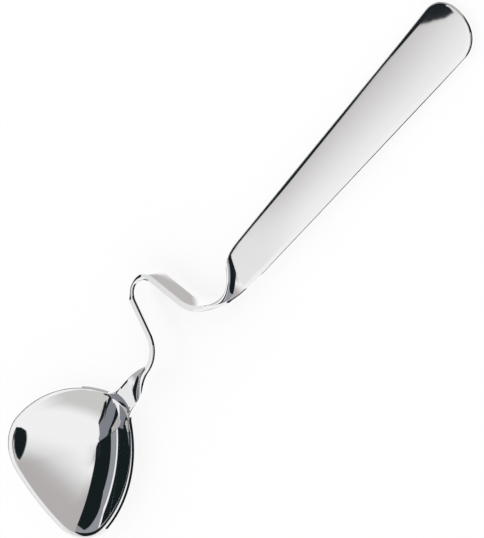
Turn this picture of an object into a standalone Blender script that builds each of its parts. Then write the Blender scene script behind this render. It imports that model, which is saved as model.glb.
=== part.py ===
"""Jam spoon with a jar hook: a strip of polished steel formed as a bowl, a twisted hook and a flat handle.

The sheet frame has X from the bowl's front to the handle's end, Y to the hook's side and Z out of the
bowl's open face. The spoon is modelled in it and then laid on a table by the empty that carries it.
"""

import math

import bmesh
import bpy
import numpy as np

# Steel sheet, in metres
SHEET = 0.0015
EDGE_ROUND = 0.0003
EDGE_LIMIT = 0.45
CUT_GAP = 0.0003

# Bowl: a broad blunt front, full sides and a narrow root
BOWL_WIDTH = 0.0377
BOWL_FRONT_RADIUS = 0.069
BOWL_CORNER_RADIUS = 0.0107
BOWL_SIDE_RADIUS = 0.0312
BOWL_ROOT_FILLET = 0.0046
BOWL_DEPTH = 0.0056
BOWL_DEEPEST = 0.0213
BOWL_WALL_POWER = 2.0
RIM_WIDTH = 0.0015
RIM_DROP = 0.0003
ROOT_BLEND = 0.0080
HOLLOW_TIP_RADIUS = 0.0075
HOLLOW_SOFT = 0.15
ROOT_STUB = 0.0005

# Neck strip, on edge, bent as a hook in the plane of the sheet
ROOT_WIDTH = 0.0064
NECK_WIDTH = 0.0059
NECK_STRAIGHT = 0.0101
FOOT_RADIUS = 0.0078
LEG_LEAN = math.radians(15.8)
LEG_LENGTH = 0.00893
CREST_RADIUS = 0.0043
RETURN_LEAN = math.radians(13.4)
HEEL_RADIUS = 0.0092
HEEL_RISE = math.radians(11.5)
HEEL_STRAIGHT = 0.0035
SHOULDER_RADIUS = 0.040

# Quarter twists at the neck's two ends
BOWL_TWIST_LENGTH = 0.0124
BOWL_TWIST_START = 0.0008
HANDLE_TWIST_LENGTH = 0.0127
HANDLE_TWIST_LEAD = 0.0038

# Handle
HANDLE_LENGTH = 0.0866
SHOULDER_WIDTH = 0.0106
HANDLE_WIDTH = 0.0154
END_RADIUS = 0.0106
END_CORNER_RADIUS = 0.0066

# Limits that keep a blunt end's two arcs tangent
BLUNTEST = 1.02
ROUNDEST = 0.95

# Fineness of the mesh
STATION_STEP = 0.0009
ROUND_STEPS = 2
ARC_STEPS = 9
SIDE_STEPS = 14
CUT_STEPS = 4
BOWL_RINGS = 12
HOLLOW_STEPS = 40
HANDLE_STEPS = 20
TILT_HALVINGS = 50
LEAST_SOFT = 1e-6

STEEL_COLOUR = (0.78, 0.78, 0.79, 1.0)
STEEL_ROUGHNESS = 0.08
SHARP_ANGLE = math.radians(40.0)

# The sheet is never rounded past its middle
EDGE = min(EDGE_ROUND, EDGE_LIMIT * SHEET)


def smooth_step(share):
    """Rises from 0 to 1 with level ends."""
    share = np.clip(share, 0.0, 1.0)
    return share * share * (3.0 - 2.0 * share)


def soft_least(value, soft):
    """The lesser of a value and 1, where the corner between them is rounded over a given half width."""
    soft = np.maximum(soft, LEAST_SOFT)
    share = np.clip((1.0 - value + soft) / (2.0 * soft), 0.0, 1.0)
    return 1.0 + (value - 1.0) * share - soft * share * (1.0 - share)


def arc(centre, radius, start, end, steps):
    """Points of a circular arc in the sheet's plane, both ends included."""
    angle = np.linspace(start, end, steps + 1)
    return np.array(centre) + radius * np.column_stack((np.cos(angle), np.sin(angle)))


def blunt_end(half_width, end_radius, corner_radius):
    """Half of a blunt end, from its tip at the origin to its widest place: a flat arc, then a corner."""
    end_radius = max(end_radius, BLUNTEST * half_width)
    corner_radius = min(corner_radius, ROUNDEST * half_width)
    widest = end_radius - math.sqrt((end_radius - corner_radius) ** 2 - (half_width - corner_radius) ** 2)
    end_centre = (end_radius, 0.0)
    corner_centre = (widest, half_width - corner_radius)
    meet = math.atan2(corner_centre[1], corner_centre[0] - end_radius)
    front = arc(end_centre, end_radius, math.pi, meet, ARC_STEPS)
    corner = arc(corner_centre, corner_radius, meet, math.pi / 2, ARC_STEPS)
    return np.concatenate((front, corner[1:]))


def bowl_half_outline():
    """Half of the bowl's outline from the front's tip to the root, where it is as wide as the neck."""
    half = BOWL_WIDTH / 2
    neck = ROOT_WIDTH / 2
    front = blunt_end(half, BOWL_FRONT_RADIUS, BOWL_CORNER_RADIUS)
    widest = front[-1, 0]
    side_centre = (widest, half - BOWL_SIDE_RADIUS)
    rise = neck + BOWL_ROOT_FILLET - side_centre[1]
    reach = math.sqrt((BOWL_SIDE_RADIUS + BOWL_ROOT_FILLET) ** 2 - rise**2)
    fillet_centre = (widest + reach, neck + BOWL_ROOT_FILLET)
    meet = math.atan2(rise, reach)
    side = arc(side_centre, BOWL_SIDE_RADIUS, math.pi / 2, meet, SIDE_STEPS)
    fillet = arc(fillet_centre, BOWL_ROOT_FILLET, meet - math.pi, -math.pi / 2, ARC_STEPS)
    return np.concatenate((front, side[1:], fillet[1:]))


ROOT = float(bowl_half_outline()[-1, 0])


def neck_stretches():
    """(length, turn) of each straight run and bend of the neck, from the bowl's root to the handle.

    The leg gives the hook its height, and the return's length comes from the handle lying on the axis.
    """
    climb = math.pi / 2 - LEG_LEAN
    fall = math.pi / 2 - RETURN_LEAN
    height = (FOOT_RADIUS + CREST_RADIUS) * (1.0 - math.cos(climb)) + LEG_LENGTH * math.sin(climb)
    crest_drop = CREST_RADIUS * (1.0 - math.cos(fall))
    heel_drop = HEEL_RADIUS * (math.cos(HEEL_RISE) - math.cos(fall))
    end_rise = HEEL_STRAIGHT * math.sin(HEEL_RISE) + SHOULDER_RADIUS * (1.0 - math.cos(HEEL_RISE))
    back = (height - crest_drop - heel_drop + end_rise) / math.sin(fall)
    return (
        (NECK_STRAIGHT, 0.0),
        (FOOT_RADIUS * climb, climb),
        (LEG_LENGTH, 0.0),
        (CREST_RADIUS * (climb + fall), -(climb + fall)),
        (back, 0.0),
        (HEEL_RADIUS * (fall + HEEL_RISE), fall + HEEL_RISE),
        (HEEL_STRAIGHT, 0.0),
        (SHOULDER_RADIUS * HEEL_RISE, -HEEL_RISE),
    )


STRETCHES = neck_stretches()
NECK_LENGTH = sum(length for length, _ in STRETCHES)
HEEL_END = sum(length for length, _ in STRETCHES[:6])
HANDLE_TWIST_START = HEEL_END - HANDLE_TWIST_LEAD


def point_on_path(along):
    """(x, y, heading) of the neck's centre line at a distance from the bowl's root."""
    x, y, heading = ROOT, 0.0, 0.0
    for length, turn in STRETCHES:
        step = min(along, length)
        if turn:
            radius = length / turn
            new_heading = heading + step / radius
            x += radius * (math.sin(new_heading) - math.sin(heading))
            y -= radius * (math.cos(new_heading) - math.cos(heading))
            heading = new_heading
        else:
            x += step * math.cos(heading)
            y += step * math.sin(heading)
        along -= step
        if along <= 0.0:
            break
    return x, y, heading


HANDLE_START = point_on_path(NECK_LENGTH)[0]
HANDLE_END = HANDLE_START + HANDLE_LENGTH


def twist_at(along):
    """Angle by which the strip is turned on edge: level at the bowl and handle, a quarter turn between."""
    up = smooth_step((along - BOWL_TWIST_START) / BOWL_TWIST_LENGTH)
    down = smooth_step((along - HANDLE_TWIST_START) / HANDLE_TWIST_LENGTH)
    return math.pi / 2 * (up - down)


def neck_half_width(along):
    """The neck's width, which narrows over the first twist and spreads to the handle's over the second."""
    narrow = smooth_step((along - BOWL_TWIST_START) / BOWL_TWIST_LENGTH)
    spread = smooth_step((along - HANDLE_TWIST_START) / (NECK_LENGTH - HANDLE_TWIST_START))
    width = ROOT_WIDTH + (NECK_WIDTH - ROOT_WIDTH) * narrow + (SHOULDER_WIDTH - NECK_WIDTH) * spread
    return width / 2


def strip_section(half_width):
    """Points round a rounded rectangle: across the strip's width, and through its thickness."""
    across = half_width - EDGE
    through = SHEET / 2 - EDGE
    corners = ((across, through), (-across, through), (-across, -through), (across, -through))
    quarters = [
        arc(corner, EDGE, turn * math.pi / 2, (turn + 1) * math.pi / 2, ROUND_STEPS)
        for turn, corner in enumerate(corners)
    ]
    return np.concatenate(quarters)


def neck_ring(along):
    """The strip's section set square to the path, turned on edge by the twist."""
    x, y, heading = point_on_path(along)
    twist = twist_at(along)
    left = np.array((-math.sin(heading), math.cos(heading), 0.0))
    front = np.array((0.0, 0.0, 1.0))
    width_way = math.cos(twist) * left - math.sin(twist) * front
    face_way = math.cos(twist) * front + math.sin(twist) * left
    section = strip_section(neck_half_width(along))
    return np.array((x, y, 0.0)) + np.outer(section[:, 0], width_way) + np.outer(section[:, 1], face_way)


def neck_rings():
    """Rings along the neck: close together in bends and twists, and only at the ends of the plain legs."""
    stations = []
    start = 0.0
    for index, (length, _) in enumerate(STRETCHES):
        plain = index in (2, 4)
        count = 1 if plain else math.ceil(length / STATION_STEP)
        stations.extend(start + length * share / count for share in range(count))
        start += length
    first = ROOT_STUB + CUT_GAP
    last = NECK_LENGTH - CUT_GAP
    inner = [station for station in stations if first + CUT_GAP < station < last - CUT_GAP]
    return [neck_ring(station) for station in (first, *inner, last)]


def mirrored(half):
    """A half outline that starts at its tip, and its mirror image, as one open line from back to back."""
    other = half[1:] * np.array((1.0, -1.0))
    return np.concatenate((half[::-1], other))


def moved_in(line, distance):
    """An open line moved to its left by a distance at each point, with its two ends kept on their cut."""
    along = np.gradient(line, axis=0)
    along /= np.linalg.norm(along, axis=1, keepdims=True)
    inward = np.column_stack((-along[:, 1], along[:, 0]))
    moved = line + inward * np.broadcast_to(distance, len(line))[:, None]
    moved[[0, -1], 0] = line[[0, -1], 0]
    return moved


def with_cut(line):
    """A closed loop: the open line and points across the cut between its ends."""
    share = np.linspace(0.0, 1.0, CUT_STEPS + 1)[1:-1, None]
    return np.concatenate((line, line[-1] + (line[0] - line[-1]) * share))


def at_height(loop, height):
    """A flat loop lifted to a height, which may differ from point to point."""
    return np.column_stack((loop, np.broadcast_to(height, len(loop))))


def hollow_reach(angle):
    """Distance from the bowl's deepest place to the edge of its hollow, in the direction of each angle.

    The hollow has the bowl's outline, but its root is closed by a round tip between the two side arcs.
    """
    front = blunt_end(BOWL_WIDTH / 2, BOWL_FRONT_RADIUS, BOWL_CORNER_RADIUS)
    side_centre = (front[-1, 0], BOWL_WIDTH / 2 - BOWL_SIDE_RADIUS)
    reach = math.sqrt((BOWL_SIDE_RADIUS - HOLLOW_TIP_RADIUS) ** 2 - side_centre[1] ** 2)
    tip_centre = (side_centre[0] + reach, 0.0)
    meet = math.atan2(-side_centre[1], reach)
    side = arc(side_centre, BOWL_SIDE_RADIUS, math.pi / 2, meet, HOLLOW_STEPS)
    tip = arc(tip_centre, HOLLOW_TIP_RADIUS, meet, 0.0, HOLLOW_STEPS)
    away = np.concatenate((front, side[1:], tip[1:])) - np.array((BOWL_DEEPEST, 0.0))
    turn = np.arctan2(away[:, 1], away[:, 0])
    return np.interp(np.abs(angle), turn[::-1], np.hypot(away[:, 0], away[:, 1])[::-1])


def bowl_loops():
    """Loops of the bowl from the middle of its inside, over the rim, to the middle of its underside.

    Each loop is the outline drawn in towards the deepest place. The wall rises as share ** power of the way
    to the hollow's edge. Towards the root the hollow's edge is rounded over into the flat neck, and there the
    rim's flat turns into the strip's side edge.
    """
    half = np.concatenate((bowl_half_outline(), [(ROOT + ROOT_STUB, ROOT_WIDTH / 2)]))
    line = mirrored(half)
    blend_end = half[-ARC_STEPS - 2, 0]
    at_root = smooth_step((line[:, 0] - blend_end + ROOT_BLEND) / ROOT_BLEND)
    inner = with_cut(moved_in(line, RIM_WIDTH * (1.0 - at_root)))
    outer = with_cut(line)
    at_root = np.concatenate((at_root, np.ones(len(outer) - len(line))))
    top = SHEET / 2
    floor = top - BOWL_DEPTH
    rim_low = top - (RIM_DROP * (1.0 - at_root) + SHEET * at_root)
    centre = np.array((BOWL_DEEPEST, 0.0))
    away = outer - centre
    past_hollow = np.hypot(away[:, 0], away[:, 1]) / hollow_reach(np.arctan2(away[:, 1], away[:, 0]))

    def drawn_in(rim, rim_height, lowest, share):
        rise = (share * np.maximum(past_hollow, 1.0)) ** BOWL_WALL_POWER
        rise = soft_least(rise, HOLLOW_SOFT * at_root)
        return at_height(centre + (rim - centre) * share, lowest + (rim_height - lowest) * rise)

    shares = np.linspace(0.0, 1.0, BOWL_RINGS + 1)[1:]
    inside = [drawn_in(inner, top, floor, share) for share in shares]
    outside = [drawn_in(outer, rim_low, floor - SHEET, share) for share in shares[::-1]]
    poles = ((*centre, floor), (*centre, floor - SHEET))
    return inside + outside, poles


def handle_loops():
    """Loops of the flat handle from its face, over its rounded edge, to its back.

    The width grows evenly from the shoulder to the widest place, then the blunt end closes it.
    """
    end = blunt_end(HANDLE_WIDTH / 2, END_RADIUS, END_CORNER_RADIUS)
    end[:, 0] = HANDLE_END - end[:, 0]
    start = HANDLE_START + CUT_GAP / 2
    x = np.linspace(end[-1, 0], start, HANDLE_STEPS + 1)[1:]
    share = (x - start) / (end[-1, 0] - start)
    side = (SHOULDER_WIDTH + (HANDLE_WIDTH - SHOULDER_WIDTH) * share) / 2
    line = mirrored(np.concatenate((end, np.column_stack((x, side)))))
    turns = np.linspace(0.0, math.pi / 2, ROUND_STEPS + 1)
    upper = [(EDGE * (1.0 - math.sin(t)), SHEET / 2 - EDGE + EDGE * math.cos(t)) for t in turns]
    lower = [(inset, -height) for inset, height in reversed(upper)]
    return [at_height(moved_in(line, -inset), height) for inset, height in upper + lower]


def polished_steel(name):
    material = bpy.data.materials.new(name)
    material.use_nodes = True
    shader = material.node_tree.nodes["Principled BSDF"]
    shader.inputs["Base Color"].default_value = STEEL_COLOUR
    shader.inputs["Metallic"].default_value = 1.0
    shader.inputs["Roughness"].default_value = STEEL_ROUGHNESS
    return material


def closed_skin(name, loops, poles=None):
    """An object skinned over a row of loops, closed at both ends by a flat face or by a fan to a pole."""
    mesh = bpy.data.meshes.new(name)
    skin = bmesh.new()
    rows = [[skin.verts.new(point) for point in loop] for loop in loops]
    for row, following in zip(rows, rows[1:]):
        for index in range(len(row)):
            after = (index + 1) % len(row)
            skin.faces.new((row[index], row[after], following[after], following[index]))
    if poles is None:
        skin.faces.new(rows[0])
        skin.faces.new(rows[-1])
    else:
        for row, pole in zip((rows[0], rows[-1]), poles):
            tip = skin.verts.new(pole)
            for index in range(len(row)):
                skin.faces.new((row[index], row[(index + 1) % len(row)], tip))
    bmesh.ops.recalc_face_normals(skin, faces=skin.faces)
    skin.to_mesh(mesh)
    skin.free()
    mesh.shade_smooth()
    mesh.set_sharp_from_angle(angle=SHARP_ANGLE)
    mesh.materials.append(polished_steel(name + "_steel"))
    made = bpy.data.objects.new(name, mesh)
    bpy.context.scene.collection.objects.link(made)
    return made


def points_of(piece):
    return np.array([vertex.co for vertex in piece.data.vertices])


def tipped(points, tilt):
    """Points turned about Y by the tilt, which lowers the handle's end."""
    x = points[:, 0] * math.cos(tilt) + points[:, 2] * math.sin(tilt)
    z = points[:, 2] * math.cos(tilt) - points[:, 0] * math.sin(tilt)
    return np.column_stack((x, points[:, 1], z))


def resting_tilt(bowl, handle):
    """The tilt at which the bowl's underside and the handle's end are equally low, found by halving."""
    bowl_points, handle_points = points_of(bowl), points_of(handle)
    low, high = 0.0, math.pi / 4
    for _ in range(TILT_HALVINGS):
        middle = (low + high) / 2
        bowl_low = tipped(bowl_points, middle)[:, 2].min()
        handle_low = tipped(handle_points, middle)[:, 2].min()
        low, high = (middle, high) if bowl_low < handle_low else (low, middle)
    return middle


def lay_on_table(pieces, tilt):
    """Carries the pieces on an empty that lays them on Z = 0, with the origin under their box's middle."""
    laid = np.concatenate([tipped(points_of(piece), tilt) for piece in pieces])
    low, high = laid.min(axis=0), laid.max(axis=0)
    carrier = bpy.data.objects.new("spoon", None)
    carrier.rotation_euler = (0.0, tilt, 0.0)
    carrier.location = (-(low[0] + high[0]) / 2, -(low[1] + high[1]) / 2, -low[2])
    bpy.context.scene.collection.objects.link(carrier)
    for piece in pieces:
        piece.parent = carrier


def main():
    for old in list(bpy.data.objects):
        bpy.data.objects.remove(old)
    bowl = closed_skin("bowl", *bowl_loops())
    hook_neck = closed_skin("hook_neck", neck_rings())
    handle = closed_skin("handle", handle_loops())
    lay_on_table((bowl, hook_neck, handle), resting_tilt(bowl, handle))


main()
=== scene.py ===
"""Looks of the jam spoon: polished steel skins for its three pieces, a white light tent and the camera.

Sizes are in millimetres in the sheet frame: X from the bowl's front to the handle's end, Y to the hook's
side and Z out of the bowl's open face. laid() turns them into metres on the table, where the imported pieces
lie. The studio's sizes are in metres.
"""

import math

import bmesh
import bpy
import numpy as np
from mathutils import Matrix


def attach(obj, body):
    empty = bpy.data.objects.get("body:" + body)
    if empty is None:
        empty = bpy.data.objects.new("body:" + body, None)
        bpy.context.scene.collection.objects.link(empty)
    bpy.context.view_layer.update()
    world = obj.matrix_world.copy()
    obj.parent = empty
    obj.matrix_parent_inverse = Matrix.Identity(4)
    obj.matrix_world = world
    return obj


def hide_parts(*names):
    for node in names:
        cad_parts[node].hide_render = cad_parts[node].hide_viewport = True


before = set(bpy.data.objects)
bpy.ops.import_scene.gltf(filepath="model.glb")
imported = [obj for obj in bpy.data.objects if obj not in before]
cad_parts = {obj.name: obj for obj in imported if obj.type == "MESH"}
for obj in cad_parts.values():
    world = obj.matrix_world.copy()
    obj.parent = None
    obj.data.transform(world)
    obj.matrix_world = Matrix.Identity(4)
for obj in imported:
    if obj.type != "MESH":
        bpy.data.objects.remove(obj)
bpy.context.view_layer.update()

MM = 0.001

# How the sheet frame lies on the table
LAID_TILT = math.radians(2.02712)
LAID_X = -89.985
LAID_Z = 7.119

# Steel sheet and its softened edge
SHEET = 1.5
EDGE_DEPTH = 0.9
ROOT_EDGE_DEPTH = 0.4

# Bowl
BOWL_WIDTH = 37.7
BOWL_FRONT_RADIUS = 69.0
BOWL_CORNER_RADIUS = 10.7
BOWL_SIDE_RADIUS = 31.2
BOWL_ROOT_FILLET = 4.6
BOWL_DEPTH = 5.6
BOWL_DEEPEST = 21.3
BOWL_WALL_POWER = 2.0
RIM_WIDTH = 1.5
RIM_SOFT_IN = 0.08
RIM_SOFT_POWER = 4
RIM_BEVEL = 0.4
RIM_BEVEL_DROP = 0.48
RIM_BEVEL_SOFT = 0.03
ROOT_BLEND = 8.0
HOLLOW_SIDE_RADIUS = 32.4
HOLLOW_TIP_RADIUS = 7.0
HOLLOW_SOFT = 0.15
ROOT_STUB = 0.5

# Neck, bent as a hook
ROOT_WIDTH = 6.4
NECK_WIDTH = 5.64
NECK_STRAIGHT = 10.1
FOOT_RADIUS = 7.8
LEG_LEAN = math.radians(15.8)
LEG_LENGTH = 8.93
CREST_RADIUS = 4.3
RETURN_LEAN = math.radians(13.4)
HEEL_RADIUS = 9.2
HEEL_RISE = math.radians(11.5)
HEEL_STRAIGHT = 3.5
SHOULDER_RADIUS = 40.0
BOWL_TWIST_LENGTH = 10.0
BOWL_TWIST_START = 2.0
HANDLE_TWIST_LENGTH = 12.7
HANDLE_TWIST_LEAD = 6.2
TWIST_SLANT = 0.45
# Stretches of the neck from the root to the heel's end
STRETCHES_TO_HEEL = 6
# Depth of the softened edge along the neck's front and back, as (distance from the root, depth)
FRONT_EDGES = (
    ((ROOT_STUB, ROOT_EDGE_DEPTH), (6, ROOT_EDGE_DEPTH), (11, 0), (30, 0))
    + ((31.5, EDGE_DEPTH), (34, EDGE_DEPTH), (37, 0), (58, 0), (75, EDGE_DEPTH))
)
BACK_EDGES = (
    ((ROOT_STUB, ROOT_EDGE_DEPTH), (16, EDGE_DEPTH), (34, EDGE_DEPTH))
    + ((39, 0), (54, 0), (62, EDGE_DEPTH))
)

# Handle
HANDLE_LENGTH = 86.56
SHOULDER_WIDTH = 10.6
HANDLE_WIDTH = 15.4
END_RADIUS = 10.6
END_CORNER_RADIUS = 6.6
HANDLE_CROWN = 0.086
CROWN_RAMP = 22.0
END_LIFT = 0.75
END_LIFT_LENGTH = 27.4
END_LIFT_POWER = 2.53

# Fineness of the skins
ARC_STEPS = 40
SIDE_STEPS = 90
FILLET_STEPS = 30
HOLLOW_FINER = 4
CUT_STEPS = 10
WALL_STEPS = 70
BACK_STEPS = 44
EDGE_STEPS = 24
NECK_STATIONS = 560
FLAT_STEPS = 12
HANDLE_STATIONS = 90
LEAST_SOFT = 1e-8
MERGE = 1e-8
CREASE = math.radians(40.0)


def smooth_step(share):
    """3 s^2 - 2 s^3, which rises from 0 to 1 with level ends."""
    share = np.clip(share, 0.0, 1.0)
    return share * share * (3.0 - 2.0 * share)


def arc(centre, radius, start, end, steps):
    """Points centre + radius (cos a, sin a) of a circular arc, both ends included."""
    angle = np.linspace(start, end, steps + 1)
    return np.array(centre) + radius * np.column_stack((np.cos(angle), np.sin(angle)))


def blunt_end(half_width, end_radius, corner_radius):
    """Half of a blunt end from its tip at the origin to its widest place: a flat arc, then a corner arc
    tangent to it."""
    across = half_width - corner_radius
    widest = end_radius - math.sqrt((end_radius - corner_radius) ** 2 - across**2)
    meet = math.atan2(across, widest - end_radius)
    front = arc((end_radius, 0.0), end_radius, math.pi, meet, ARC_STEPS)
    corner = arc((widest, across), corner_radius, meet, math.pi / 2, ARC_STEPS)
    return np.concatenate((front, corner[1:]))


def bowl_half_outline():
    """Half of the bowl's outline from its front's tip to its root: blunt end, side arc and fillet."""
    half, neck = BOWL_WIDTH / 2, ROOT_WIDTH / 2
    front = blunt_end(half, BOWL_FRONT_RADIUS, BOWL_CORNER_RADIUS)
    side_centre = (front[-1, 0], half - BOWL_SIDE_RADIUS)
    rise = neck + BOWL_ROOT_FILLET - side_centre[1]
    reach = math.sqrt((BOWL_SIDE_RADIUS + BOWL_ROOT_FILLET) ** 2 - rise**2)
    meet = math.atan2(rise, reach)
    side = arc(side_centre, BOWL_SIDE_RADIUS, math.pi / 2, meet, SIDE_STEPS)
    fillet_centre = (side_centre[0] + reach, neck + BOWL_ROOT_FILLET)
    fillet = arc(fillet_centre, BOWL_ROOT_FILLET, meet - math.pi, -math.pi / 2, FILLET_STEPS)
    return np.concatenate((front, side[1:], fillet[1:]))


def mirrored(half):
    """A half outline that starts at its tip, joined to its mirror image as one open line."""
    return np.concatenate((half[::-1], half[1:] * np.array((1.0, -1.0))))


def inward_of(line):
    """Unit normals to the left of an open line, square to its central differences. At the two ends they are
    square to X, so that the pieces meet flush at their cuts."""
    along = np.gradient(line, axis=0)
    along[[0, -1], 1] = 0.0
    along /= np.linalg.norm(along, axis=1, keepdims=True)
    return np.column_stack((-along[:, 1], along[:, 0]))


def edge_profile(depth):
    """The sheet's softened edge as (in, up) from its upper corner: half an ellipse through the thickness."""
    turn = np.linspace(math.pi / 2, -math.pi / 2, EDGE_STEPS + 1)
    inward = np.multiply.outer(1.0 - np.abs(np.cos(turn)), depth)
    up = SHEET / 2 * (np.sin(turn) - 1.0)
    return inward, up


def rim_profile(width):
    """The bowl's rim as (in, up) from its outer corner: a flat band whose inner side falls as s^power, and
    an even outer bevel, which starts softly as the branch of a hyperbola."""
    place = np.linspace(-1.0, 1.0, EDGE_STEPS + 1)
    band = np.multiply.outer(np.maximum(-place, 0.0), width - RIM_BEVEL)
    inward = band + RIM_BEVEL * (1.0 - np.maximum(place, 0.0))[:, None]
    bevel = (place + np.sqrt(place**2 + RIM_BEVEL_SOFT**2)) / 2
    fall = RIM_SOFT_IN * np.maximum(-place, 0.0) ** RIM_SOFT_POWER
    return inward, -fall - RIM_BEVEL_DROP * (bevel - bevel[0])


def past_hollow(points, rim, side_radius):
    """Distance of points from the deepest place, divided by that of the hollow's edge in the same direction.

    The edge is the bowl's blunt end drawn in by the rim, a tangent side arc and a tangent round tip at the
    root.
    """
    front = blunt_end(BOWL_WIDTH / 2 - rim, BOWL_FRONT_RADIUS - rim, BOWL_CORNER_RADIUS - rim)
    front[:, 0] += rim
    side_centre = (front[-1, 0], BOWL_WIDTH / 2 - rim - side_radius)
    reach = math.sqrt((side_radius - HOLLOW_TIP_RADIUS) ** 2 - side_centre[1] ** 2)
    meet = math.atan2(-side_centre[1], reach)
    side = arc(side_centre, side_radius, math.pi / 2, meet, HOLLOW_FINER * SIDE_STEPS)
    tip_centre = (side_centre[0] + reach, 0.0)
    tip = arc(tip_centre, HOLLOW_TIP_RADIUS, meet, 0.0, HOLLOW_FINER * ARC_STEPS)
    centre = np.array((BOWL_DEEPEST, 0.0))
    edge = (np.concatenate((front, side[1:], tip[1:])) - centre)[::-1]
    away = points - centre
    angle = np.abs(np.arctan2(away[:, 1], away[:, 0]))
    to_edge = np.interp(angle, np.arctan2(edge[:, 1], edge[:, 0]), np.hypot(edge[:, 0], edge[:, 1]))
    return np.hypot(away[:, 0], away[:, 1]) / to_edge


def soft_least(value, soft):
    """The lesser of a value and 1, with the corner between them rounded by a parabola of half width soft."""
    soft = np.maximum(soft, LEAST_SOFT)
    share = np.clip((1.0 - value + soft) / (2.0 * soft), 0.0, 1.0)
    return 1.0 + (value - 1.0) * share - soft * share * (1.0 - share)


def with_cut(rings):
    """Rings closed across the root's cut by points spaced evenly between each ring's two ends."""
    share = np.linspace(0.0, 1.0, CUT_STEPS + 1)[1:-1, None]
    first, last = rings[:, :1], rings[:, -1:]
    return np.concatenate((rings, last + (first - last) * share), axis=1)


def bowl_grid():
    """Rings of the bowl from its inner pole, over the rim, to its outer pole.

    Inside and outside are the outline drawn in towards the deepest place by a share s, at the height
    lowest + (rim - lowest) s^power. Towards the root s reaches 1 at the hollow's own round edge, where the
    rise is rounded over into the flat neck, and the rim's profile turns into the sheet's edge.
    """
    half = np.concatenate((bowl_half_outline(), [(ROOT + ROOT_STUB, ROOT_WIDTH / 2)]))
    line = mirrored(half)
    blend_end = half[-FILLET_STEPS - 2, 0]
    at_root = smooth_step((line[:, 0] - blend_end + ROOT_BLEND) / ROOT_BLEND)
    edged = smooth_step((line[:, 0] - blend_end) / (ROOT - blend_end))
    centre = np.array((BOWL_DEEPEST, 0.0))
    inward = inward_of(line)
    beyond = 1.0 - 1.0 / past_hollow(line, RIM_WIDTH, HOLLOW_SIDE_RADIUS)
    width = np.maximum(beyond * ((centre - line) * inward).sum(axis=1), ROOT_EDGE_DEPTH)
    rim_in, rim_up = rim_profile(width)
    edge_in, edge_up = edge_profile(ROOT_EDGE_DEPTH)
    drawn = rim_in + (edge_in[:, None] - rim_in) * edged
    up = rim_up[:, None] + (edge_up - rim_up)[:, None] * edged
    flat = line + inward * drawn[..., None]
    rim = with_cut(np.concatenate((flat, SHEET / 2 + up[..., None]), axis=2))
    at_root = np.concatenate((at_root, np.ones(CUT_STEPS - 1)))
    past_inside = past_hollow(rim[0, :, :2], RIM_WIDTH, HOLLOW_SIDE_RADIUS)
    past_outside = past_hollow(with_cut(line[None])[0], 0.0, BOWL_SIDE_RADIUS)

    def drawn_in(edge, lowest, past, share):
        rise = (share * np.maximum(past, 1.0)) ** BOWL_WALL_POWER
        rise = soft_least(rise, HOLLOW_SOFT * at_root)
        spread = centre + (edge[:, :2] - centre) * share[..., None]
        return np.concatenate((spread, (lowest + (edge[:, 2] - lowest) * rise)[..., None]), axis=2)

    floor = SHEET / 2 - BOWL_DEPTH
    outwards = np.linspace(0.0, 1.0, WALL_STEPS + 1)[:-1, None]
    inwards = np.linspace(1.0, 0.0, BACK_STEPS + 1)[1:, None]
    inside = drawn_in(rim[0], floor, past_inside, outwards)
    outside = drawn_in(rim[-1], floor - SHEET, past_outside, inwards)
    return np.concatenate((inside, rim, outside))


def neck_stretches():
    """(lengths, turns) of the neck's straight runs and bends: the leg gives the hook its height, and the
    return's length comes from the handle lying on the axis."""
    climb = math.pi / 2 - LEG_LEAN
    fall = math.pi / 2 - RETURN_LEAN
    height = (FOOT_RADIUS + CREST_RADIUS) * (1.0 - math.cos(climb)) + LEG_LENGTH * math.sin(climb)
    crest_drop = CREST_RADIUS * (1.0 - math.cos(fall))
    heel_drop = HEEL_RADIUS * (math.cos(HEEL_RISE) - math.cos(fall))
    end_rise = HEEL_STRAIGHT * math.sin(HEEL_RISE) + SHOULDER_RADIUS * (1.0 - math.cos(HEEL_RISE))
    back = (height - crest_drop - heel_drop + end_rise) / math.sin(fall)
    turns = np.array((0.0, climb, 0.0, -(climb + fall), 0.0, fall + HEEL_RISE, 0.0, -HEEL_RISE))
    radii = np.array((0.0, FOOT_RADIUS, 0.0, CREST_RADIUS, 0.0, HEEL_RADIUS, 0.0, SHOULDER_RADIUS))
    straights = np.array((NECK_STRAIGHT, 0.0, LEG_LENGTH, 0.0, back, 0.0, HEEL_STRAIGHT, 0.0))
    return straights + np.abs(turns) * radii, turns


ROOT = float(bowl_half_outline()[-1, 0])
LENGTHS, TURNS = neck_stretches()
NECK_LENGTH = LENGTHS.sum()
HANDLE_TWIST_START = LENGTHS[:STRETCHES_TO_HEEL].sum() - HANDLE_TWIST_LEAD
HANDLE_END = blunt_end(HANDLE_WIDTH / 2, END_RADIUS, END_CORNER_RADIUS)
HANDLE_TAPER = (HANDLE_WIDTH - SHOULDER_WIDTH) / (HANDLE_LENGTH - HANDLE_END[-1, 0])


def neck_path(along):
    """(x, y, heading) at distances from the bowl's root: heading is the sum of the turns made so far, and
    each stretch adds its chord, length sinc(turn / 2) in the direction of its middle heading."""
    starts = np.concatenate(((0.0,), np.cumsum(LENGTHS)[:-1]))
    done = np.clip((along[:, None] - starts) / LENGTHS, 0.0, 1.0)
    before = np.concatenate(((0.0,), np.cumsum(TURNS)[:-1]))
    turned = TURNS * done
    chord = LENGTHS * done * np.sinc(turned / (2.0 * math.pi))
    middle = before + turned / 2
    x = ROOT + (chord * np.cos(middle)).sum(axis=1)
    y = (chord * np.sin(middle)).sum(axis=1)
    return x, y, turned.sum(axis=1)


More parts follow.
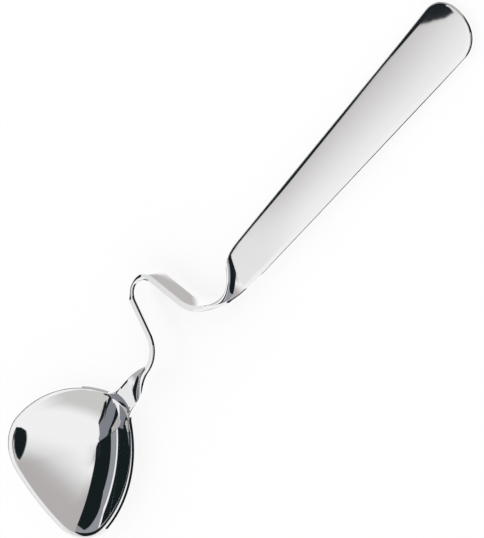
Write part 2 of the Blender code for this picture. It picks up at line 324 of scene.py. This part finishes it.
def strip_section(half_width, front_depth, back_depth):
    """Loops (across, through) of the strip: two flats and two softened edges, whose depth on the strip's
    front and on its back is given for each half width."""
    inward, up = edge_profile(1.0)
    side = SHEET / 2 + up
    flat = np.linspace(1.0, -1.0, FLAT_STEPS + 1)[1:-1]
    depth = np.where(side > 0.0, front_depth[:, None], back_depth[:, None])
    right = half_width[:, None] - inward * depth
    left = -right[:, ::-1]
    back = (half_width - back_depth)[:, None] * flat
    front = (half_width - front_depth)[:, None] * -flat
    across = np.concatenate((right, back, left, front), axis=1)
    level = np.full(len(flat), SHEET / 2)
    through = np.concatenate((side, -level, side[::-1], level))
    return across, np.broadcast_to(through, across.shape)


def neck_grid():
    """The strip's section carried along the path, square to it and turned on edge by two quarter twists,
    which run slantwise over the strip."""
    along = np.linspace(ROOT_STUB, NECK_LENGTH, NECK_STATIONS)
    x, y, heading = neck_path(along)
    narrow = smooth_step((along - BOWL_TWIST_START) / BOWL_TWIST_LENGTH)
    spread = smooth_step((along - HANDLE_TWIST_START) / (NECK_LENGTH - HANDLE_TWIST_START))
    shoulder = SHOULDER_WIDTH + HANDLE_TAPER * (along - NECK_LENGTH)
    width = ROOT_WIDTH + (NECK_WIDTH - ROOT_WIDTH) * narrow + (shoulder - NECK_WIDTH) * spread
    depths = [np.interp(along, *np.transpose(edges)) for edges in (FRONT_EDGES, BACK_EDGES)]
    across, through = strip_section(width / 2, *depths)
    slanted = along[:, None] - TWIST_SLANT * across
    up = smooth_step((slanted - BOWL_TWIST_START) / BOWL_TWIST_LENGTH)
    down = smooth_step((slanted - HANDLE_TWIST_START) / HANDLE_TWIST_LENGTH)
    twist = math.pi / 2 * (up - down)
    left = np.column_stack((-np.sin(heading), np.cos(heading), np.zeros_like(heading)))
    front = np.array((0.0, 0.0, 1.0))
    cos, sin = np.cos(twist)[..., None], np.sin(twist)[..., None]
    width_way = cos * left[:, None] - sin * front
    face_way = cos * front + sin * left[:, None]
    middle = np.column_stack((x, y, np.zeros_like(x)))[:, None]
    return middle + across[..., None] * width_way + through[..., None] * face_way


def handle_grid():
    """The handle from the spine of its face, over its softened edge, to the spine of its back.

    The outline tapers evenly from the widest place to the shoulder. The face is the outline drawn in towards
    the spine, and sinks by crown c^2, where c is the share of the half width. The crown fades in from the
    shoulder. The end lifts by a power of the distance past the lift's start.
    """
    start = float(neck_path(np.array((NECK_LENGTH,)))[0][0])
    end = np.column_stack((start + HANDLE_LENGTH - HANDLE_END[:, 0], HANDLE_END[:, 1]))
    x = np.linspace(end[-1, 0], start, HANDLE_STATIONS + 1)[1:]

    def half_width(x):
        return (SHOULDER_WIDTH + HANDLE_TAPER * np.minimum(x - start, end[-1, 0] - start)) / 2

    line = mirrored(np.concatenate((end, np.column_stack((x, half_width(x))))))
    spine = np.column_stack((np.minimum(line[:, 0], end[-1, 0]), np.zeros(len(line))))
    inward, up = edge_profile(EDGE_DEPTH)
    edge = line - inward_of(line) * inward[:, None, None]
    up = np.broadcast_to(SHEET / 2 + up[:, None, None], edge.shape[:2] + (1,))
    edge = np.concatenate((edge, up), axis=2)
    share = np.linspace(0.0, 1.0, FLAT_STEPS + 1)[:-1, None, None]
    flat = spine + (edge[0, :, :2] - spine) * share
    face = np.concatenate((flat, np.full(flat.shape[:2] + (1,), SHEET / 2)), axis=2)
    back = face[::-1] * np.array((1.0, 1.0, -1.0))
    grid = np.concatenate((face, edge, back))
    crown = HANDLE_CROWN * smooth_step((grid[..., 0] - start) / CROWN_RAMP)
    sunk = crown * (grid[..., 1] / half_width(grid[..., 0])) ** 2
    grid[..., 2] *= 1.0 - sunk / (SHEET / 2)
    beyond = np.maximum(grid[..., 0] - (start + HANDLE_LENGTH - END_LIFT_LENGTH), 0.0)
    grid[..., 2] += END_LIFT * (beyond / END_LIFT_LENGTH) ** END_LIFT_POWER
    return grid


def laid(points):
    """Sheet points in millimetres turned about Y by the tilt, moved on to the table and given in metres."""
    x, y, z = np.moveaxis(points, -1, 0)
    cos, sin = math.cos(LAID_TILT), math.sin(LAID_TILT)
    return np.stack((x * cos + z * sin + LAID_X, y, z * cos - x * sin + LAID_Z), axis=-1) * MM


def placed(name, mesh, material):
    """A new object at the origin, with a mesh of one material."""
    mesh.materials.append(material)
    made = bpy.data.objects.new(name, mesh)
    bpy.context.scene.collection.objects.link(made)
    return made


def skin(name, grid, ring, material):
    """A closed mesh over a grid of points. Poles and spines are rows whose points meet and are merged, and
    an open end is closed by a flat face. ring says whether the last column joins the first."""
    rows, columns = grid.shape[:2]
    index = np.arange(rows * columns).reshape(rows, columns)
    after = np.roll(index, -1, axis=1)
    here = slice(None) if ring else slice(None, -1)
    corners = (index[:-1, here], after[:-1, here], after[1:, here], index[1:, here])
    faces = np.stack(corners, axis=-1).reshape(-1, 4)
    mesh = bpy.data.meshes.new(name)
    mesh.from_pydata(laid(grid).reshape(-1, 3), (), faces.tolist())
    work = bmesh.new()
    work.from_mesh(mesh)
    bmesh.ops.remove_doubles(work, verts=work.verts, dist=MERGE)
    bmesh.ops.holes_fill(work, edges=[edge for edge in work.edges if edge.is_boundary])
    bmesh.ops.recalc_face_normals(work, faces=work.faces)
    work.to_mesh(mesh)
    work.free()
    mesh.shade_smooth()
    mesh.set_sharp_from_angle(angle=CREASE)
    return placed(name, mesh, material)


# Colour sockets of the Mix node: two inputs and one output
MIX_FIRST = 6
MIX_SECOND = 7
MIX_RESULT = 2


class Shade:
    """A shader socket. Arithmetic on it adds Math nodes to its tree, and node() adds any other node."""

    def __init__(self, tree, socket=None):
        self.tree = tree
        self.socket = socket

    def node(self, kind, settings=None, inputs=None, output=0):
        made = self.tree.nodes.new(kind)
        for key, value in (settings or {}).items():
            setattr(made, key, value)
        for key, value in (inputs or {}).items():
            if isinstance(value, Shade):
                self.tree.links.new(value.socket, made.inputs[key])
            else:
                made.inputs[key].default_value = value
        return Shade(self.tree, made.outputs[output] if made.outputs else None)

    def math(self, operation, first, second=0.0):
        return self.node("ShaderNodeMath", {"operation": operation}, {0: first, 1: second})

    def step(self, first, last):
        """A smooth step of this socket, from 0 at first to 1 at last."""
        ends = {"Value": self, "From Min": first, "From Max": last}
        return self.node("ShaderNodeMapRange", {"interpolation_type": "SMOOTHSTEP"}, ends)

    def between(self, first, second):
        """The colour from first to second as this socket goes from 0 to 1."""
        colours = {"Factor": self, MIX_FIRST: first, MIX_SECOND: second}
        return self.node("ShaderNodeMix", {"data_type": "RGBA"}, colours, MIX_RESULT)

    def __add__(self, other):
        return self.math("ADD", self, other)

    def __sub__(self, other):
        return self.math("SUBTRACT", self, other)

    def __mul__(self, other):
        return self.math("MULTIPLY", self, other)

    __radd__ = __add__
    __rmul__ = __mul__


def shading(name):
    """A new material with an empty tree, and a starting point for its nodes."""
    material = bpy.data.materials.new(name)
    material.use_nodes = True
    material.node_tree.nodes.clear()
    return material, Shade(material.node_tree)


# Polished steel
STEEL_COLOUR = (0.985, 0.985, 0.99, 1.0)
STEEL_SHADE = (0.965, 0.963, 0.96, 1.0)
STEEL_ROUGHNESS = 0.02
STEEL_HAZE = 0.03
POLISH_PATCH = 90.0
POLISH_PATCH_DETAIL = 4.0
POLISH_LINES = (150.0, 5200.0, 5200.0)
POLISH_LINE_DETAIL = 3.0
POLISH_DEPTH = 2e-7


def polished_steel(name):
    """Mirror-polished steel: cloudy patches of haze, and hair-fine polishing lines along the spoon."""
    material, start = shading(name)
    place = start.node("ShaderNodeTexCoord", output="Object")
    patches = {"Vector": place, "Scale": POLISH_PATCH, "Detail": POLISH_PATCH_DETAIL}
    cloud = start.node("ShaderNodeTexNoise", None, patches)
    stretched = start.node("ShaderNodeMapping", None, {"Vector": place, "Scale": POLISH_LINES})
    hairs = {"Vector": stretched, "Scale": 1.0, "Detail": POLISH_LINE_DETAIL}
    lines = start.node("ShaderNodeTexNoise", None, hairs)
    relief = {"Height": lines, "Distance": POLISH_DEPTH, "Strength": 1.0}
    looks = {
        "Base Color": cloud.between(STEEL_COLOUR, STEEL_SHADE),
        "Metallic": 1.0,
        "Roughness": STEEL_ROUGHNESS + STEEL_HAZE * cloud * lines,
        "Normal": start.node("ShaderNodeBump", None, relief),
    }
    shader = start.node("ShaderNodeBsdfPrincipled", None, looks)
    start.node("ShaderNodeOutputMaterial", None, {"Surface": shader})
    return material


# Studio: white floor, and a small card on it whose glowing grey is a painted shadow, seen only in the steel
WHITE = (1.0, 1.0, 1.0, 1.0)
FLOOR_SIDES = (-3.0, 3.0)
FLOOR_GLOW = 0.7
FLOOR_GLOW_MIRRORED = 0.95
# Painted shadow: the grey that the steel mirrors beside the hook, in place of the floor's shade there
PAINTED_SHADOW_GREY = (0.50, 0.48, 0.475, 1.0)
CARD_X = (-0.024, -0.008)
CARD_Y = (0.0046, 0.0222)
CARD_HEIGHT = 1e-4
# Where the card's painted shadow starts to fade and where it is white, on the hook's side and at the heel's
# end
CARD_SIDE_FADE = (-0.018, -0.0208)
CARD_HEEL_FADE = (0.0072, 0.0048)
CARD_SLANT = 0.55
CARD_SLANT_START = 0.017

# Light tent
TENT_RADIUS = 30.0
TENT_STEPS = 64
TENT_WHITE = (0.888, 0.888, 0.898, 1.0)
SOFT_GREY = (0.62, 0.62, 0.625, 1.0)
PALE_GREY = (0.58, 0.577, 0.562, 1.0)
WARM_GREY = (0.45, 0.427, 0.422, 1.0)
BLUE_GREY = (0.28, 0.29, 0.32, 1.0)
LILAC = (0.21, 0.22, 0.248, 1.0)
SLATE = (0.015, 0.018, 0.022, 1.0)
DARK = (0.008, 0.013, 0.014, 1.0)
# Places in the tent, each over those before it: corners as (bearing, rise) in degrees, anticlockwise from
# outside, then how far the edge is soft, in degrees, and the light. Bearing 0 is towards the handle's end
# and 90 towards the hook's side.
TENT_PLACES = (
    # Dimmer half on the handle's side, and its grey wall
    (((100, 10), (-80, 10), (10, -50)), 20.0, SOFT_GREY),
    (((-8, -30), (60, -30), (60, 67.6), (-8, 78.7)), 9.0, WARM_GREY),
    (((40, -30), (114, -30), (114, 57.5), (62, 71.4), (40, 70)), 9.0, WARM_GREY),
    # Pale wall on the bowl's side
    (((150, -30), (-150, -30), (-150, 27), (150, 27)), 9.0, PALE_GREY),
    # Grey that shades the handle's face
    (((136, 50), (150.1, 50), (144.1, 58.4), (136, 62)), 4.5, WARM_GREY),
    # Dark foot of the wall on the hook's side, with two grey bands and a white line over it
    (((85, -30), (151, -30), (151, 26), (85, 26)), 0.3, DARK),
    (((82.5, 13), (125, 13), (125, 24), (82.5, 49.3)), 0.8, BLUE_GREY),
    (((96, 14), (150, 14), (150, 26), (96, 26)), 0.8, BLUE_GREY),
    (((96, 10.5), (150, 10.5), (150, 13.5), (96, 13.5)), 0.5, TENT_WHITE),
    # Dark cloth that makes the bowl's broad stripe, and its sharp corner at the handle's end
    (
        ((84, 49.2), (97, 38.4), (103, 34.5), (109, 30.9), (115, 27.3), (121, 24), (151, 25))
        + ((151, 50.3), (149, 53), (122, 57.3), (110, 56.6)),
        0.25,
        DARK,
    ),
    (
        ((140, 45), (149.6, 45), (149.6, 51), (149.3, 53.2))
        + ((148.1, 54.05), (146, 54.7), (140, 55.6)),
        0.06,
        SLATE,
    ),
    # Lilac cloth with a dark border, over a grey foot
    (((151, -30), (178, -30), (178, 8), (151, 25)), 1.0, WARM_GREY),
    (
        ((154.6, 30), (163.9, -1), (179.5, -1), (182.5, 7), (184.6, 13), (184.3, 17), (183.6, 23))
        + ((182.2, 29), (180.8, 34), (179, 37.5), (173.5, 42), (163, 48), (154.6, 49)),
        0.3,
        DARK,
    ),
    (((150.5, 24.5), (157, 24), (157, 49), (150.5, 48)), 0.3, DARK),
    (
        ((157, 34), (159.5, 28), (171.5, -1), (175, -1), (180.5, 13), (182, 19), (181.3, 23.5))
        + ((180.3, 28.5), (179.2, 33), (177.5, 38.7), (173.5, 42.2), (168.5, 45.6))
        + ((163, 48.2), (157, 49.3)),
        0.4,
        LILAC,
    ),
    (((151.5, 34), (160, 27.5), (160, 49), (155.5, 49.5), (151.5, 47.5)), 0.4, LILAC),
    # Dark wall on the side away from the hook, the bowl's dark oval above it and a white window
    (((-123, -20), (18, -20), (10, 55), (-123, 45)), 0.4, DARK),
    (
        ((-122.5, 52), (-119.5, 50.5), (-113.2, 56), (-102.6, 62.4), (-92.8, 66.8), (-80.3, 70.4))
        + ((-64.2, 73), (-39.3, 74.6), (-12.2, 73.8), (2.5, 72.8), (-121.5, 58)),
        0.4,
        DARK,
    ),
    (((-118, 45), (-40, 45), (-40, 60), (-100, 60), (-112, 54)), 0.4, TENT_WHITE),
)


def studio_piece(name, points, faces, material):
    """A new piece of the studio from points and faces."""
    mesh = bpy.data.meshes.new(name)
    mesh.from_pydata(points, (), faces)
    return placed(name, mesh, material)


def only_in_steel(piece):
    """Keeps a piece of the studio out of the lens, the shadows and the floor's light."""
    piece.visible_camera = False
    piece.visible_diffuse = False
    piece.visible_shadow = False


def rectangle(x, y, z):
    """Corners of a level rectangle between two x and two y, and its one face."""
    return [(x[0], y[0], z), (x[1], y[0], z), (x[1], y[1], z), (x[0], y[1], z)], [(0, 1, 2, 3)]


def surfaced(material, start, shader):
    """The material with a shader that glows by itself, which isn't sampled as a lamp."""
    start.node("ShaderNodeOutputMaterial", None, {"Surface": shader})
    material.cycles.emission_sampling = "NONE"
    return material


def pale_floor():
    """A flat white square under the spoon: white by itself to the lens and in the steel, and partly lit, so
    that it keeps the spoon's soft shadow."""
    material, start = shading("floor_white")
    cloth = start.node("ShaderNodeBsdfDiffuse", None, {"Color": WHITE})
    glow = start.node("ShaderNodeEmission", None, {"Color": WHITE, "Strength": 1.0})
    rays = ("Is Camera Ray", "Is Glossy Ray", "Is Transmission Ray")
    camera, glossy, through = (start.node("ShaderNodeLightPath", output=ray) for ray in rays)
    share = FLOOR_GLOW * camera + FLOOR_GLOW_MIRRORED * start.math("MINIMUM", glossy + through, 1.0)
    shader = start.node("ShaderNodeMixShader", None, {0: share, 1: cloth, 2: glow})
    points, faces = rectangle(FLOOR_SIDES, FLOOR_SIDES, 0.0)
    floor = studio_piece("floor", points, faces, surfaced(material, start, shader))


def painted_shadow_card():
    """A small card that lies beside the hook's outer side, seen only in the steel. Its glowing grey is a
    painted
    shadow: it stands in for the floor's shade beside the hook, as the steel mirrors it.

    Its painted shadow fades to white along x on the side of the hook, further out the further y is past the
    slant's start, and along y at the heel's end.
    """
    material, start = shading("painted_shadow_grey")
    place = start.node("ShaderNodeTexCoord", output="Object")
    x, y = (start.node("ShaderNodeSeparateXYZ", None, {0: place}, axis) for axis in "XY")
    slanted = x + CARD_SLANT * start.math("MAXIMUM", y - CARD_SLANT_START, 0.0)
    fade = start.math("MAXIMUM", slanted.step(*CARD_SIDE_FADE), y.step(*CARD_HEEL_FADE))
    # The card glows with its painted shadow, which fades to white towards its edges
    shader = start.node("ShaderNodeEmission", None, {"Color": fade.between(PAINTED_SHADOW_GREY, WHITE)})
    points, faces = rectangle(CARD_X, CARD_Y, CARD_HEIGHT)
    card = studio_piece("painted_shadow_card", points, faces, surfaced(material, start, shader))
    only_in_steel(card)


def directions(bearing, rise):
    """Unit vectors (cos rise cos bearing, cos rise sin bearing, sin rise)."""
    level = np.cos(rise)
    return np.stack((level * np.cos(bearing), level * np.sin(bearing), np.sin(rise)), axis=-1)


def tent_light():
    """Light of the tent's inside by direction: white, with the places of other light that the steel mirrors.

    A place is a polygon on the sphere. A direction is inside it by the least of its sines to the planes
    through the tent's middle and two neighbouring corners, and the soft edge is a smooth step of that.
    """
    material, start = shading("tent_light")
    place = start.node("ShaderNodeTexCoord", output="Object")
    way = start.node("ShaderNodeVectorMath", {"operation": "NORMALIZE"}, {0: place})
    colour = TENT_WHITE
    for corners, soft, light in TENT_PLACES:
        points = directions(*np.radians(np.array(corners)).T)
        planes = np.cross(points, np.roll(points, -1, axis=0))
        planes /= np.linalg.norm(planes, axis=1, keepdims=True)
        inside = None
        for plane in planes.tolist():
            ends = {0: way, 1: plane}
            side = start.node("ShaderNodeVectorMath", {"operation": "DOT_PRODUCT"}, ends, "Value")
            inside = side if inside is None else start.math("MINIMUM", inside, side)
        edge = math.sin(math.radians(soft))
        colour = inside.step(-edge, edge).between(colour, light)
    shader = start.node("ShaderNodeEmission", None, {"Color": colour})
    return surfaced(material, start, shader)


def light_tent():
    """Half a sphere of white cloth over the spoon, seen only in the steel."""
    rises = np.linspace(0.0, math.pi / 2, TENT_STEPS // 2)
    bearings = np.linspace(-math.pi, math.pi, TENT_STEPS + 1)
    rise, bearing = np.meshgrid(rises, bearings, indexing="ij")
    points = directions(bearing, rise).reshape(-1, 3) * TENT_RADIUS
    index = np.arange(rise.size).reshape(rise.shape)
    corners = (index[:-1, :-1], index[1:, :-1], index[1:, 1:], index[:-1, 1:])
    faces = np.stack(corners, axis=-1).reshape(-1, 4)
    tent = studio_piece("light_tent", points, faces.tolist(), tent_light())
    only_in_steel(tent)


def white_world():
    """Even white light from all around, which lights the floor."""
    world = bpy.data.worlds.new("studio")
    world.use_nodes = True
    world.node_tree.nodes["Background"].inputs["Color"].default_value = WHITE
    world.node_tree.nodes["Background"].inputs["Strength"].default_value = 1.0
    bpy.context.scene.world = world


# Camera, in the sheet frame. Lens and sensor are in millimetres and the clip is in metres.
CAMERA_AIM = (91.656, -1.542, 3.493)
CAMERA_SIDE = (0.50213, -0.2852, 0.81641)
CAMERA_UP = (0.65022, 0.74692, -0.13899)
CAMERA_DISTANCE = 1114.6
CAMERA_LENS = 311.25
CAMERA_SENSOR = 36.0
CAMERA_CLIP = 20.0


def photo_camera():
    """A long lens looking at the aim point from the given side, with the given direction upright."""
    aim, side, up = (np.array(value) for value in (CAMERA_AIM, CAMERA_SIDE, CAMERA_UP))
    place = laid(aim + side * CAMERA_DISTANCE)
    ways = [laid(way) - laid(np.zeros(3)) for way in (np.cross(up, side), up, side)]
    turned = np.eye(4)
    turned[:3] = np.column_stack((*(way / np.linalg.norm(way) for way in ways), place))
    data = bpy.data.cameras.new("camera")
    data.sensor_fit = "VERTICAL"
    data.sensor_height = CAMERA_SENSOR
    data.lens = CAMERA_LENS
    data.clip_end = CAMERA_CLIP
    camera = bpy.data.objects.new("camera", data)
    camera.matrix_world = Matrix(turned.tolist())
    bpy.context.scene.collection.objects.link(camera)
    bpy.context.scene.camera = camera


steel = polished_steel("polished_steel")
for node, grid, ring in (
    ("bowl", bowl_grid(), True),
    ("hook_neck", neck_grid(), True),
    ("handle", handle_grid(), False),
):
    piece = skin(node + "_skin", grid, ring, steel)
    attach(piece, "root")
    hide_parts(node)

pale_floor()
painted_shadow_card()
light_tent()
white_world()
photo_camera()
bpy.context.scene.view_settings.view_transform = "Standard"
